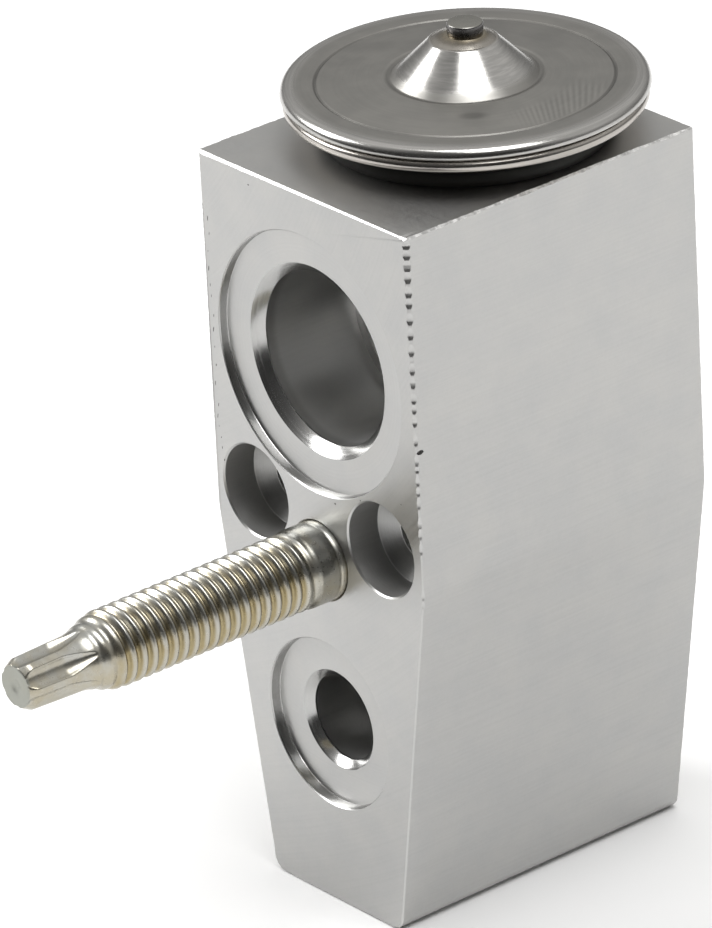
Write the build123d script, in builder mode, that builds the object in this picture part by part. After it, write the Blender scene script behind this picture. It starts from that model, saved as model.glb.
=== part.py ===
"""Block-type thermostatic expansion valve, in millimetres.

The origin is midway between the two mounting holes, on the rear face that seats on the
evaporator. +X runs across the block, +Y points out of the rear face and +Z points up to the head.
Heights are measured from the foot, and distances along a port or the stud from its own face.
"""
from build123d import *
import math
import os

os.makedirs("parts", exist_ok=True)

# Block
block_width = 30.4
block_depth = 36.0
block_height = 74.8
foot_width = 18.8
bend_height = 37.7
bend_radius = 14.0
foot_corner_radius = 1.6
edge_break = 0.3

# Axis of the head and of the moving train, behind the block's mid-depth
axis_offset = 2.8

# Mounting holes beside the stud
hole_height = 40.9
hole_spacing = 18.4
hole_radius = 2.75
counterbore_radius = 4.75
counterbore_depth = 3.7
hole_edge_break = 0.3
drill_point_angle = 118.0

# Suction passage: both faces alike, but the rear bore stops short of the sensing rod
suction_height = 57.2
suction_recess_radius = 13.25
suction_recess_depth = 1.0
suction_mouth_radius = 9.75
suction_bore_radius = 8.75
suction_bore_depth = 13.0
suction_rear_bore_depth = 11.5
suction_core_radius = 7.75
core_overlap = 1.0

# Liquid inlet, front face
inlet_height = 19.2
inlet_recess_radius = 8.7
inlet_recess_depth = 1.2
inlet_mouth_radius = 5.1
inlet_bore_radius = 4.35
inlet_bore_depth = 11.0
inlet_core_radius = 3.0

# Liquid outlet, rear face
outlet_height = 29.5
outlet_recess_radius = 8.9
outlet_recess_depth = 1.0
outlet_mouth_radius = 6.4
outlet_bore_radius = 5.6
outlet_bore_depth = 9.0
outlet_core_radius = 3.25
outlet_overrun = 2.0

# Stud
stud_height = 36.7
stud_reach = 37.3
stud_engagement = 12.0
shank_radius = 4.0
shank_length = 2.8
shank_groove_start = 0.35
shank_groove_length = 0.55
shank_groove_depth = 0.15
thread_radius = 3.9
thread_start = 3.4
flare_start = 26.9
flare_end = 30.4
drive_radius = 2.75
drive_tip_radius = 2.55
tip_face_radius = 2.0
tip_chamfer = 0.55
flute_count = 6
flute_radius = 0.95
flute_centre_radius = 3.15
flute_end = 29.6
flute_run_out = 3.4
centre_dent_radius = 0.45
centre_dent_depth = 0.4
stud_countersink = 0.12

# Clearances
thread_gap = 0.05
slide_gap = 0.05
seal_gap = 0.02
seat_gap = 0.04

# Two radii closer than this are one
same_radius = 0.01

# Valve chamber, seat and rod bores
screw_bore_radius = 6.0
screw_bore_depth = 6.6
foot_chamfer = 0.5
chamber_radius = 5.4
chamber_top = 23.0
seat_radius = 2.3
orifice_radius = 1.6
ball_radius = 2.4
push_rod_radius = 1.0
rod_radius = 3.0
rod_end = 42.5
rod_travel_room = 1.4
rod_guide_length = 2.5
seal_bore_radius = 4.6
vent_radius = 5.0
valve_lift = 0.7

# Mouth of the block, neck and covers of the head
neck_radius = 11.95
neck_bore_radius = 10.3
neck_length = 5.6
neck_relief = 0.8
cover_gap = 1.7
sheet = 1.2
lower_rim_radius = 17.4
lower_rim_rise = 1.2
rim_inner_radius = 14.9
joggle = 1.0
lower_bead_radius = 0.55
lower_bead_top = 0.45
upper_rim_radius = 17.6
upper_sheet = 1.1
upper_bead_radius = 0.85
upper_bead_foot = 0.3
scribed_ring_radius = 14.25
scribed_ring_width = 0.18
scribed_ring_depth = 0.1
dome_rise = 0.45
dome_radius = 7.65
cone_foot_radius = 7.15
cone_foot_depth = 0.2
cone_top_radius = 3.3
cone_height = 3.5
cone_edge_radius = 0.35
inner_dome_relief = 0.25
charge_hole_radius = 1.2

# Filling plug
plug_radius = 1.75
plug_height = 1.7
plug_edge = 0.18
weld_radius = 2.95
weld_height = 0.55

# Diaphragm and its support
diaphragm_thickness = 0.2
diaphragm_margin = 0.1
wave_outer_radius = 13.7
wave_inner_radius = 11.3
wave_depth = 0.45
support_radius = 10.9
support_rim = 0.5
support_hub_radius = 4.4
support_hub_length = 3.9
support_shoulder_radius = 9.4
support_socket_depth = 3.4

# Rubber rings
head_seal_section = 1.05
rod_seal_section = 0.74
screw_seal_section = 0.53

# Seal retainer
retainer_thickness = 0.4
retainer_dish = 0.5
retainer_hole_radius = 3.4
retainer_notch_width = 0.8
retainer_notch_count = 6

# Ball holder, springs and adjusting screw
holder_neck_radius = 3.0
holder_flange_radius = 4.3
holder_flange = 1.2
holder_spigot_radius = 2.6
holder_spigot_length = 1.8
holder_flange_height = 17.5
holder_cup_drop = 0.9
damping_sheet = 0.25
damping_leg_width = 1.7
damping_leg_count = 4
damping_leg_length = 3.6
damping_leg_gap = 0.12
spring_wire_radius = 0.5
spring_radius = 3.55
spring_turns = 4.6
screw_bottom = 1.0
screw_thread_length = 4.2
screw_neck_radius = 5.3
screw_top = 10.2
screw_groove_height = 8.1
screw_groove_width = 1.3
screw_groove_radius = 4.3
screw_spigot_radius = 2.6
screw_spigot_length = 1.3
screw_edge = 0.4
hex_across_flats = 5.0
hex_depth = 3.4

# Levels and places that follow from the sizes above
foot = -hole_height
rear = 0.0
front = -block_depth
axis_y = -block_depth / 2 + axis_offset
drill_slope = 1 / math.tan(math.radians(drill_point_angle / 2))
cover_floor = block_height + cover_gap
lower_rim = cover_floor + lower_rim_rise
seam = lower_rim + sheet
upper_rim = seam + diaphragm_thickness
cover_top = upper_rim + upper_sheet
cone_foot = cover_top + dome_rise
cone_top = cone_foot + cone_height
ball_height = chamber_top + (seat_radius - ball_radius * math.sqrt(2)) - seat_gap
ball_top = ball_height + ball_radius
seal_bore_floor = rod_end + rod_guide_length


def turning(*points):
    """A profile of (radius, height) points in the plane of the vertical axis."""
    plane = Plane(origin=(0, axis_y, foot), x_dir=(1, 0, 0), z_dir=(0, -1, 0))
    with BuildSketch(plane) as profile:
        with BuildLine():
            Polyline(*points, close=True)
        make_face()
    return profile.sketch


def boring(side, x, height, *points):
    """A profile of (radius, depth) points for a hole bored into the front or the rear face."""
    into_block = 1 if side == front else -1
    plane = Plane(origin=(x, side, foot + height), x_dir=(1, 0, 0), z_dir=(0, 0, into_block))
    with BuildSketch(plane) as profile:
        with BuildLine():
            Polyline(*points, close=True)
        make_face()
    return profile.sketch, Axis(plane.origin, (0, into_block, 0))


def port(side, height, recess, recess_depth, mouth, bore, depth, core, reach, floor_slope):
    """A stepped pipe port: recess, chamfered mouth, bore with a flat or drilled floor, and core."""
    return boring(
        side, 0, height,
        (0, 0), (recess, 0), (recess, recess_depth), (mouth, recess_depth),
        (bore, recess_depth + mouth - bore), (bore, depth),
        (core, depth + (bore - core) * floor_slope), (core, reach), (0, reach),
    )


def o_ring(inner_radius, section, height):
    """A rubber ring round the vertical axis, resting at its true round section."""
    plane = Plane(origin=(0, axis_y, foot), x_dir=(1, 0, 0), z_dir=(0, -1, 0))
    with BuildSketch(plane) as profile:
        with Locations((inner_radius + section, height)):
            Circle(section)
    return profile.sketch


def finish(part, name):
    """Label a finished piece and write it."""
    part.part.label = name
    export_step(part.part, f"parts/{name}.step")


train = Axis((0, axis_y, foot), (0, 0, 1))
neck_foot = block_height - neck_length
mouth_bore_radius = neck_radius + thread_gap
head_seal_height = cover_floor - head_seal_section - seal_gap
head_seal_centre = neck_radius + head_seal_section + seal_gap
seal_reach = (head_seal_section + seal_gap) * math.sqrt(2)
mouth_radius = head_seal_centre - (head_seal_height - block_height) + seal_reach
mouth_depth = mouth_radius - mouth_bore_radius

# Block: a tapered bar, then every bore from its own face
with BuildPart() as valve_body:
    with BuildSketch(Plane.XZ):
        with BuildLine():
            Polyline(
                (-foot_width / 2, foot), (foot_width / 2, foot),
                (block_width / 2, foot + bend_height), (block_width / 2, foot + block_height),
                (-block_width / 2, foot + block_height), (-block_width / 2, foot + bend_height),
                close=True,
            )
        bar = make_face()
        fillet(bar.vertices().group_by(Axis.Y)[1], bend_radius)
        fillet(bar.vertices().group_by(Axis.Y)[0], foot_corner_radius)
    extrude(amount=block_depth)
    for face in (faces().sort_by(Axis.Y)[0], faces().sort_by(Axis.Y)[-1]):
        chamfer(face.edges(), edge_break)

    # Ports: the suction passage meets in the middle, the liquid cores reach the valve chamber
    middle = block_depth / 2
    ports = [
        port(side, suction_height, suction_recess_radius, suction_recess_depth,
             suction_mouth_radius, suction_bore_radius, depth,
             suction_core_radius, middle + core_overlap, 0)
        for side, depth in ((front, suction_bore_depth), (rear, suction_rear_bore_depth))
    ]
    ports.append(port(front, inlet_height, inlet_recess_radius, inlet_recess_depth,
                      inlet_mouth_radius, inlet_bore_radius, inlet_bore_depth,
                      inlet_core_radius, middle + axis_offset, drill_slope))
    ports.append(port(rear, outlet_height, outlet_recess_radius, outlet_recess_depth,
                      outlet_mouth_radius, outlet_bore_radius, outlet_bore_depth,
                      outlet_core_radius, middle - axis_offset + outlet_overrun, drill_slope))
    for profile, axis in ports:
        revolve(profile, axis=axis, mode=Mode.SUBTRACT)

    # Mounting holes, counterbored with a drill-point floor
    for x in (-hole_spacing / 2, hole_spacing / 2):
        profile, axis = boring(
            front, x, hole_height,
            (0, 0), (counterbore_radius + hole_edge_break, 0),
            (counterbore_radius, hole_edge_break), (counterbore_radius, counterbore_depth),
            (hole_radius, counterbore_depth + (counterbore_radius - hole_radius) * drill_slope),
            (hole_radius, block_depth), (0, block_depth),
        )
        revolve(profile, axis=axis, mode=Mode.SUBTRACT)

    # Stud hole
    stud_hole = shank_radius + thread_gap
    profile, axis = boring(
        front, 0, stud_height,
        (0, 0), (stud_hole + stud_countersink, 0), (stud_hole, stud_countersink),
        (stud_hole, stud_engagement + thread_gap),
        (0, stud_engagement + thread_gap + stud_hole * drill_slope),
    )
    revolve(profile, axis=axis, mode=Mode.SUBTRACT)

    # From the foot: screw thread, valve chamber, seat and orifice
    revolve(
        turning(
            (0, 0), (screw_bore_radius + foot_chamfer, 0), (screw_bore_radius, foot_chamfer),
            (screw_bore_radius, screw_bore_depth),
            (chamber_radius, screw_bore_depth + screw_bore_radius - chamber_radius),
            (chamber_radius, chamber_top), (seat_radius, chamber_top),
            (orifice_radius, chamber_top + seat_radius - orifice_radius),
            (orifice_radius, outlet_height), (0, outlet_height),
        ),
        axis=train, mode=Mode.SUBTRACT,
    )

    # From the top: mouth for the head, vent round the rod, seal bore, rod bore, push rod bore
    rod_bore = rod_radius + slide_gap
    revolve(
        turning(
            (0, block_height), (mouth_radius, block_height),
            (mouth_bore_radius, block_height - mouth_depth),
            (mouth_bore_radius, neck_foot - neck_relief), (vent_radius, neck_foot - neck_relief),
            (vent_radius, suction_height), (seal_bore_radius, suction_height),
            (seal_bore_radius, seal_bore_floor), (rod_bore, seal_bore_floor),
            (rod_bore, rod_end - rod_travel_room),
            (push_rod_radius + slide_gap, rod_end - rod_travel_room),
            (push_rod_radius + slide_gap, outlet_height), (0, outlet_height),
        ),
        axis=train, mode=Mode.SUBTRACT,
    )
finish(valve_body, "valve_body")

# Lower cover: threaded neck, floor, joggle and rim bead
with BuildPart() as lower_cover:
    revolve(
        turning(
            (neck_bore_radius, neck_foot), (neck_radius, neck_foot),
            (neck_radius, cover_floor), (rim_inner_radius - joggle + sheet / 2, cover_floor),
            (rim_inner_radius + sheet / 2, lower_rim), (lower_rim_radius, lower_rim),
            (lower_rim_radius, seam), (rim_inner_radius, seam),
            (rim_inner_radius - joggle, cover_floor + sheet),
            (neck_bore_radius, cover_floor + sheet),
        ),
        axis=train,
    )
    outer_edges = edges().filter_by(GeomType.CIRCLE).filter_by(
        lambda edge: abs(edge.radius - lower_rim_radius) < same_radius
    )
    fillet(outer_edges.sort_by(Axis.Z)[0], lower_bead_radius)
    outer_edges = edges().filter_by(GeomType.CIRCLE).filter_by(
        lambda edge: abs(edge.radius - lower_rim_radius) < same_radius
    )
    fillet(outer_edges.sort_by(Axis.Z)[-1], lower_bead_top)
finish(lower_cover, "lower_cover")

# Diaphragm: a thin disc with one round corrugation outside its support
diaphragm_radius = lower_rim_radius - lower_bead_top - diaphragm_margin
with BuildPart() as diaphragm:
    wave_middle = (wave_outer_radius + wave_inner_radius) / 2
    wave_step = (wave_outer_radius - wave_inner_radius) / 4
    revolve(
        turning(
            (0, seam), (wave_inner_radius, seam), (wave_middle - wave_step, seam - wave_depth),
            (wave_middle + wave_step, seam - wave_depth), (wave_outer_radius, seam),
            (diaphragm_radius, seam), (diaphragm_radius, upper_rim),
            (wave_outer_radius, upper_rim), (wave_middle + wave_step, upper_rim - wave_depth),
            (wave_middle - wave_step, upper_rim - wave_depth), (wave_inner_radius, upper_rim),
            (0, upper_rim),
        ),
        axis=train,
    )
finish(diaphragm, "diaphragm")

# Upper cover: rolled rim, shallow dome and truncated cone with the charging hole
with BuildPart() as upper_cover:
    cone_slope = (cone_foot_radius - cone_top_radius) / cone_height
    wall_shift = upper_sheet * math.sqrt(1 + cone_slope ** 2)
    inner_top = cone_top - upper_sheet
    inner_foot = upper_rim + dome_rise + inner_dome_relief / 2
    inner_edge = upper_rim + inner_dome_relief

    def inner_cone(height):
        """Radius of the cone's inner wall at a height."""
        return cone_top_radius + (cone_top - height) * cone_slope - wall_shift

    revolve(
        turning(
            (rim_inner_radius, upper_rim), (upper_rim_radius, upper_rim),
            (upper_rim_radius, cover_top),
            (scribed_ring_radius + scribed_ring_width, cover_top),
            (scribed_ring_radius, cover_top - scribed_ring_depth),
            (scribed_ring_radius - scribed_ring_width, cover_top),
            (dome_radius, cone_foot), (cone_foot_radius, cone_foot - cone_foot_depth),
            (cone_top_radius, cone_top), (charge_hole_radius, cone_top),
            (charge_hole_radius, inner_top), (inner_cone(inner_top), inner_top),
            (inner_cone(inner_foot), inner_foot),
            (rim_inner_radius - joggle, inner_edge),
        ),
        axis=train,
    )
    rim_edges = edges().filter_by(GeomType.CIRCLE).filter_by(
        lambda edge: abs(edge.radius - upper_rim_radius) < same_radius
    )
    fillet(rim_edges.sort_by(Axis.Z)[-1], upper_bead_radius)
    rim_edges = edges().filter_by(GeomType.CIRCLE).filter_by(
        lambda edge: abs(edge.radius - upper_rim_radius) < same_radius
    )
    fillet(rim_edges.sort_by(Axis.Z)[0], upper_bead_foot)
    top_edges = edges().filter_by(GeomType.CIRCLE).filter_by(
        lambda edge: abs(edge.radius - cone_top_radius) < same_radius
    )
    fillet(top_edges, cone_edge_radius)
finish(upper_cover, "upper_cover")

# Filling plug: pin in the charging hole, weld collar and head
with BuildPart() as filling_plug:
    pin_radius = charge_hole_radius - thread_gap
    revolve(
        turning(
            (0, inner_top), (pin_radius, inner_top), (pin_radius, cone_top),
            (weld_radius, cone_top), (plug_radius, cone_top + weld_height),
            (plug_radius, cone_top + plug_height), (0, cone_top + plug_height),
        ),
        axis=train,
    )
    chamfer(faces().sort_by(Axis.Z)[-1].edges(), plug_edge)
finish(filling_plug, "filling_plug")

# Diaphragm support: rim that stops on the cover's floor, and hub with the rod's socket
support_top = seam - seal_gap
support_face = cover_floor + sheet + valve_lift
socket_radius = rod_radius + seal_gap
hub_end = support_face - support_hub_length
with BuildPart() as diaphragm_support:
    revolve(
        turning(
            (0, support_top), (support_radius, support_top), (support_radius, support_face),
            (support_shoulder_radius, support_face),
            (support_hub_radius, support_face - support_rim), (support_hub_radius, hub_end),
            (socket_radius, hub_end), (socket_radius, hub_end + support_socket_depth),
            (0, hub_end + support_socket_depth),
        ),
        axis=train,
    )
finish(diaphragm_support, "diaphragm_support")

# Sensing rod, pressed into the support's socket
rod_top = hub_end + support_socket_depth
with BuildPart() as sensing_rod:
    revolve(
        turning((0, rod_end), (rod_radius, rod_end), (rod_radius, rod_top), (0, rod_top)),
        axis=train,
    )
    chamfer(edges().filter_by(GeomType.CIRCLE), screw_edge)
finish(sensing_rod, "sensing_rod")

# Rod seal and the dished washer that keeps it in
rod_seal_height = seal_bore_floor + rod_seal_section + seal_gap
with BuildPart() as rod_seal:
    revolve(o_ring(rod_radius + seal_gap, rod_seal_section, rod_seal_height), axis=train)
finish(rod_seal, "rod_seal")

retainer_bottom = rod_seal_height + rod_seal_section + seal_gap
retainer_radius = seal_bore_radius - seal_gap
with BuildPart() as seal_retainer:
    revolve(
        turning(
            (retainer_hole_radius, retainer_bottom), (retainer_hole_radius + retainer_thickness,
                                                      retainer_bottom),
            (retainer_radius, retainer_bottom + retainer_dish),
            (retainer_radius, retainer_bottom + retainer_dish + retainer_thickness),
            (retainer_radius - retainer_thickness,
             retainer_bottom + retainer_dish + retainer_thickness),
            (retainer_hole_radius, retainer_bottom + retainer_thickness),
        ),
        axis=train,
    )
    notch_plane = Plane(origin=(0, axis_y, foot + retainer_bottom))
    with BuildSketch(notch_plane):
        with PolarLocations(retainer_radius, retainer_notch_count):
            Rectangle(retainer_thickness * 2, retainer_notch_width)
    extrude(amount=retainer_dish + retainer_thickness * 2, mode=Mode.SUBTRACT)
finish(seal_retainer, "seal_retainer")

# Push rod, ball and ball holder
with BuildPart() as push_rod:
    revolve(
        turning((0, ball_top), (push_rod_radius, ball_top), (push_rod_radius, rod_end),
                (0, rod_end)),
        axis=train,
    )
finish(push_rod, "push_rod")

with BuildPart() as valve_ball:
    with Locations((0, axis_y, foot + ball_height)):
        Sphere(ball_radius)
finish(valve_ball, "valve_ball")

flange_top = holder_flange_height + holder_flange
with BuildPart() as ball_holder:
    revolve(
        turning(
            (0, holder_flange_height - holder_spigot_length),
            (holder_spigot_radius, holder_flange_height - holder_spigot_length),
            (holder_spigot_radius, holder_flange_height),
            (holder_flange_radius, holder_flange_height), (holder_flange_radius, flange_top),
            (holder_neck_radius, flange_top),
            (holder_neck_radius, ball_height - holder_cup_drop),
            (0, ball_height - holder_cup_drop),
        ),
        axis=train,
    )
    with Locations((0, axis_y, foot + ball_height)):
        Sphere(ball_radius, mode=Mode.SUBTRACT)
finish(ball_holder, "ball_holder")

# Damping spring: a ring on the flange, with legs bent down along the chamber wall
leg_outer = chamber_radius - damping_leg_gap
leg_top = flange_top + damping_sheet
leg_end = leg_top - damping_leg_length
with BuildPart() as damping_spring:
    with BuildSketch(Plane(origin=(0, axis_y, foot + flange_top))):
        Circle(holder_flange_radius)
        with PolarLocations((leg_outer + holder_neck_radius) / 2, damping_leg_count, start_angle=45):
            Rectangle(leg_outer - holder_neck_radius, damping_leg_width)
        Circle(holder_neck_radius + seal_gap, mode=Mode.SUBTRACT)
    extrude(amount=damping_sheet)
    with BuildSketch(Plane(origin=(0, axis_y, foot + leg_end))):
        with PolarLocations(leg_outer - damping_sheet / 2, damping_leg_count, start_angle=45):
            Rectangle(damping_sheet, damping_leg_width)
    extrude(amount=damping_leg_length)
    with BuildSketch(Plane(origin=(0, axis_y, foot + leg_end))):
        Circle(chamber_radius)
    extrude(amount=damping_leg_length + damping_sheet, mode=Mode.INTERSECT)
finish(damping_spring, "damping_spring")

# Adjusting screw: thread, neck with the seal's groove, spigot and hexagon socket
groove_top = screw_groove_height + screw_groove_width
screw_thread_radius = screw_bore_radius - slide_gap
with BuildPart() as adjusting_screw:
    revolve(
        turning(
            (0, screw_bottom), (screw_thread_radius - screw_edge, screw_bottom),
            (screw_thread_radius, screw_bottom + screw_edge),
            (screw_thread_radius, screw_bottom + screw_thread_length),
            (screw_neck_radius, screw_bottom + screw_thread_length),
            (screw_neck_radius, screw_groove_height), (screw_groove_radius, screw_groove_height),
            (screw_groove_radius, groove_top), (screw_neck_radius, groove_top),
            (screw_neck_radius, screw_top - screw_edge), (screw_neck_radius - screw_edge, screw_top),
            (screw_spigot_radius, screw_top), (screw_spigot_radius, screw_top + screw_spigot_length),
            (0, screw_top + screw_spigot_length),
        ),
        axis=train,
    )
    with BuildSketch(Plane(origin=(0, axis_y, foot + screw_bottom))):
        RegularPolygon(hex_across_flats / 2, 6, major_radius=False)
    extrude(amount=hex_depth, mode=Mode.SUBTRACT)
finish(adjusting_screw, "adjusting_screw")

with BuildPart() as screw_seal:
    seal_height = (screw_groove_height + groove_top) / 2
    revolve(o_ring(screw_groove_radius + seal_gap, screw_seal_section, seal_height), axis=train)
finish(screw_seal, "screw_seal")

with BuildPart() as head_seal:
    revolve(o_ring(neck_radius + seal_gap, head_seal_section, head_seal_height), axis=train)
finish(head_seal, "head_seal")

# Valve spring: a helix with its ends ground flat
spring_bottom = screw_top + seal_gap
spring_top = holder_flange_height - seal_gap
spring_length = spring_top - spring_bottom
spring_pitch = spring_length / spring_turns
with BuildPart() as valve_spring:
    with BuildLine():
        coil = Helix(spring_pitch, spring_length, spring_radius,
                     center=(0, axis_y, foot + spring_bottom))
    with BuildSketch(Plane(origin=coil @ 0, z_dir=coil % 0)):
        Circle(spring_wire_radius)
    sweep(path=coil, is_frenet=True)
    with BuildSketch(Plane(origin=(0, axis_y, foot + spring_bottom))):
        Circle(spring_radius + spring_wire_radius * 2)
    extrude(amount=spring_length, mode=Mode.INTERSECT)
finish(valve_spring, "valve_spring")

# Stud: smooth shank with a groove at its foot, crests of the thread, flare and six-lobe drive
stud_level = foot + stud_height
with BuildPart() as stud:
    stud_plane = Plane(origin=(0, front, stud_level), x_dir=(1, 0, 0), z_dir=(0, 0, -1))
    with BuildSketch(stud_plane):
        with BuildLine():
            Polyline(
                (0, -stud_engagement), (thread_radius - edge_break, -stud_engagement),
                (thread_radius, edge_break - stud_engagement), (thread_radius, -shank_length / 2),
                (shank_radius, -shank_length / 2), (shank_radius, shank_groove_start),
                (shank_radius - shank_groove_depth, shank_groove_start + shank_groove_length / 2),
                (shank_radius, shank_groove_start + shank_groove_length),
                (shank_radius, shank_length),
                (thread_radius, thread_start), (thread_radius, flare_start),
                (drive_radius, flare_end), (drive_tip_radius, stud_reach - tip_chamfer),
                (tip_face_radius, stud_reach),
                (centre_dent_radius, stud_reach), (0, stud_reach - centre_dent_depth),
                close=True,
            )
        make_face()
    revolve(axis=Axis((0, front, stud_level), (0, -1, 0)))

    # Flutes of the drive: each cutter is a rod that ends in a long point on the flare
    for turn in range(flute_count):
        angle = 2 * math.pi * (turn + 0.5) / flute_count
        centre = (flute_centre_radius * math.cos(angle), front,
                  stud_level + flute_centre_radius * math.sin(angle))
        flute_plane = Plane(origin=centre, x_dir=(1, 0, 0), z_dir=(0, 0, -1))
        with BuildSketch(flute_plane):
            with BuildLine():
                Polyline(
                    (0, stud_reach + tip_chamfer), (flute_radius, stud_reach + tip_chamfer),
                    (flute_radius, flute_end + flute_run_out), (0, flute_end), close=True,
                )
            make_face()
        revolve(axis=Axis(centre, (0, -1, 0)), mode=Mode.SUBTRACT)
finish(stud, "stud")
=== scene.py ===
import math
import random

import bmesh
import bpy
from mathutils import Matrix, Vector, noise


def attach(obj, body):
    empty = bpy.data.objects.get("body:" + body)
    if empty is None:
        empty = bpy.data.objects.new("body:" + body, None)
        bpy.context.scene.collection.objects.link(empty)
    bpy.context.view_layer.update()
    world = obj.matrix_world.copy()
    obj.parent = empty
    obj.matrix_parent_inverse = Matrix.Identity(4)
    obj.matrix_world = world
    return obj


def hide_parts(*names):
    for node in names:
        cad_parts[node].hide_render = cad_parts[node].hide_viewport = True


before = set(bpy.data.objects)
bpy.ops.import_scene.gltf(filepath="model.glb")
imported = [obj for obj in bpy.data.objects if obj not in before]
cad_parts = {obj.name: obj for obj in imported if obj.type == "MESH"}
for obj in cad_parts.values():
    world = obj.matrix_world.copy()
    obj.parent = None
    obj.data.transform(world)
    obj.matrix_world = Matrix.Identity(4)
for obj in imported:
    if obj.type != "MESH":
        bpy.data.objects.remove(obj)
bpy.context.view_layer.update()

# Lengths are in millimetres up to the meshes. Heights are measured from the foot.
MM = 0.001
FOOT = -40.9
AXIS_Y = -15.2
FRONT = -36.0
REAR = 0.0
ON_AXIS = Matrix.Translation((0, AXIS_Y, FOOT))

# Block
BLOCK_WIDTH = 30.4
HALF_WIDTH = BLOCK_WIDTH / 2
BLOCK_HEIGHT = 74.8
TOP = FOOT + BLOCK_HEIGHT
FOOT_WIDTH = 18.8
BEND_HEIGHT = 37.7
BEND_RADIUS = 14.0
FOOT_CORNER = 1.6
EDGE_BREAK = 0.3

# Ports, screw holes, inner bores and the hole for the stud
SUCTION_HEIGHT = 57.2
SUCTION = {"recess": 13.25, "recess_depth": 1.0, "mouth": 9.75, "bore": 8.75, "core": 7.75}
SUCTION_FRONT_DEPTH = 13.0
SUCTION_REAR_DEPTH = 11.5
INLET_HEIGHT = 19.2
INLET = {"recess": 8.7, "recess_depth": 1.2, "mouth": 5.1, "bore": 4.35, "core": 3.0}
INLET_DEPTH = 11.0
OUTLET_HEIGHT = 29.5
OUTLET = {"recess": 8.9, "recess_depth": 1.0, "mouth": 6.4, "bore": 5.6, "core": 3.25}
OUTLET_DEPTH = 9.0
HOLE_HEIGHT = 40.9
HOLE_OFFSET = 9.2
HOLE_RADIUS = 2.75
COUNTERBORE_RADIUS = 4.75
COUNTERBORE_DEPTH = 3.7
CHAMBER_TOP = 23.0
SCREW_BORE_RADIUS = 6.0
SCREW_BORE_DEPTH = 6.6
CHAMBER_RADIUS = 5.4
SEAT_RADIUS = 2.3
ORIFICE_RADIUS = 1.6
STUD_HEIGHT = 36.7
STUD_REACH = 36.9
STUD_ENGAGEMENT = 12.0
STUD_HOLE_RADIUS = 4.05
DRILL_SLOPE = 1 / math.tan(math.radians(59))

# Head
NECK_FOOT = 69.2
COVER_FLOOR = 76.5
LOWER_RIM = 77.7
SEAM = 78.9
UPPER_RIM = 79.1
COVER_TOP = 80.2
CONE_FOOT = 80.65
CONE_TOP = 84.15
SCRIBED_RADIUS = 14.25


def into_face(side, x, height):
    """Places a turned shape on a hole's axis, with its depths into the front or rear face."""
    turn = Matrix.Rotation(math.radians(-90 if side == FRONT else 90), 4, "X")
    return Matrix.Translation((x, side, FOOT + height)) @ turn


def rounded(points, radii, step):
    """A closed outline with some corners rounded: radii maps a corner's index to its radius."""
    made = []
    count = len(points)
    for i, corner in enumerate(points):
        radius = radii.get(i, 0)
        here = Vector(corner)
        if not radius:
            made.append(here)
            continue
        before = (Vector(points[i - 1]) - here).normalized()
        after = (Vector(points[(i + 1) % count]) - here).normalized()
        half = before.angle(after) / 2
        reach = radius / math.tan(half)
        centre = here + (before + after).normalized() * (radius / math.sin(half))
        start = here + before * reach - centre
        turn = math.pi - 2 * half
        if start.x * after.y - start.y * after.x < 0:
            turn = -turn
        parts = max(2, round(math.degrees(abs(turn)) / step))
        for k in range(parts + 1):
            a = turn * k / parts
            made.append(centre + Vector((
                start.x * math.cos(a) - start.y * math.sin(a),
                start.x * math.sin(a) + start.y * math.cos(a),
            )))
    return made


def mesh_object(name, bm, sharp):
    """A finished mesh from millimetres, smooth but for its edges sharper than an angle."""
    bmesh.ops.recalc_face_normals(bm, faces=bm.faces)
    bmesh.ops.scale(bm, vec=(MM, MM, MM), verts=bm.verts)
    mesh = bpy.data.meshes.new(name)
    bm.to_mesh(mesh)
    bm.free()
    mesh.polygons.foreach_set("use_smooth", [True] * len(mesh.polygons))
    if sharp:
        mesh.set_sharp_from_angle(angle=math.radians(sharp))
    piece = bpy.data.objects.new(name, mesh)
    bpy.context.scene.collection.objects.link(piece)
    return piece


def turned(name, profile, place, segments=256, sharp=30.0):
    """A closed solid of revolution from (radius, height) points round its section."""
    bm = bmesh.new()
    rings = []
    for radius, height in profile:
        if radius < 1e-6:
            rings.append([bm.verts.new(place @ Vector((0, 0, height)))])
            continue
        rings.append([
            bm.verts.new(place @ Vector((
                radius * math.cos(2 * math.pi * k / segments),
                radius * math.sin(2 * math.pi * k / segments), height,
            )))
            for k in range(segments)
        ])
    for a, b in zip(rings, rings[1:] + rings[:1]):
        if len(a) == 1 and len(b) == 1:
            continue
        for k in range(segments):
            after = k + 1
            corners = [a[k % len(a)], a[after % len(a)], b[after % len(b)], b[k % len(b)]]
            bm.faces.new(list(dict.fromkeys(corners)))
    return mesh_object(name, bm, sharp)


def skin(bm, loops):
    """Faces between neighbouring loops of vertices, and over both ends."""
    count = len(loops[0])
    for a, b in zip(loops, loops[1:]):
        for k in range(count):
            after = (k + 1) % count
            bm.faces.new((a[k], a[after], b[after], b[k]))
    bm.faces.new(loops[0])
    bm.faces.new(list(reversed(loops[-1])))


def cut(piece, cutter):
    """Takes the cutter's shape out of a piece; the cut faces keep the cutter's material."""
    change = piece.modifiers.new("cut", "BOOLEAN")
    change.operation = "DIFFERENCE"
    change.solver = "EXACT"
    change.material_mode = "TRANSFER"
    change.object = cutter
    graph = bpy.context.evaluated_depsgraph_get()
    made = bpy.data.meshes.new_from_object(piece.evaluated_get(graph))
    old = piece.data
    piece.modifiers.clear()
    piece.data = made
    bpy.data.meshes.remove(old)
    bpy.data.objects.remove(cutter)


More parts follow.
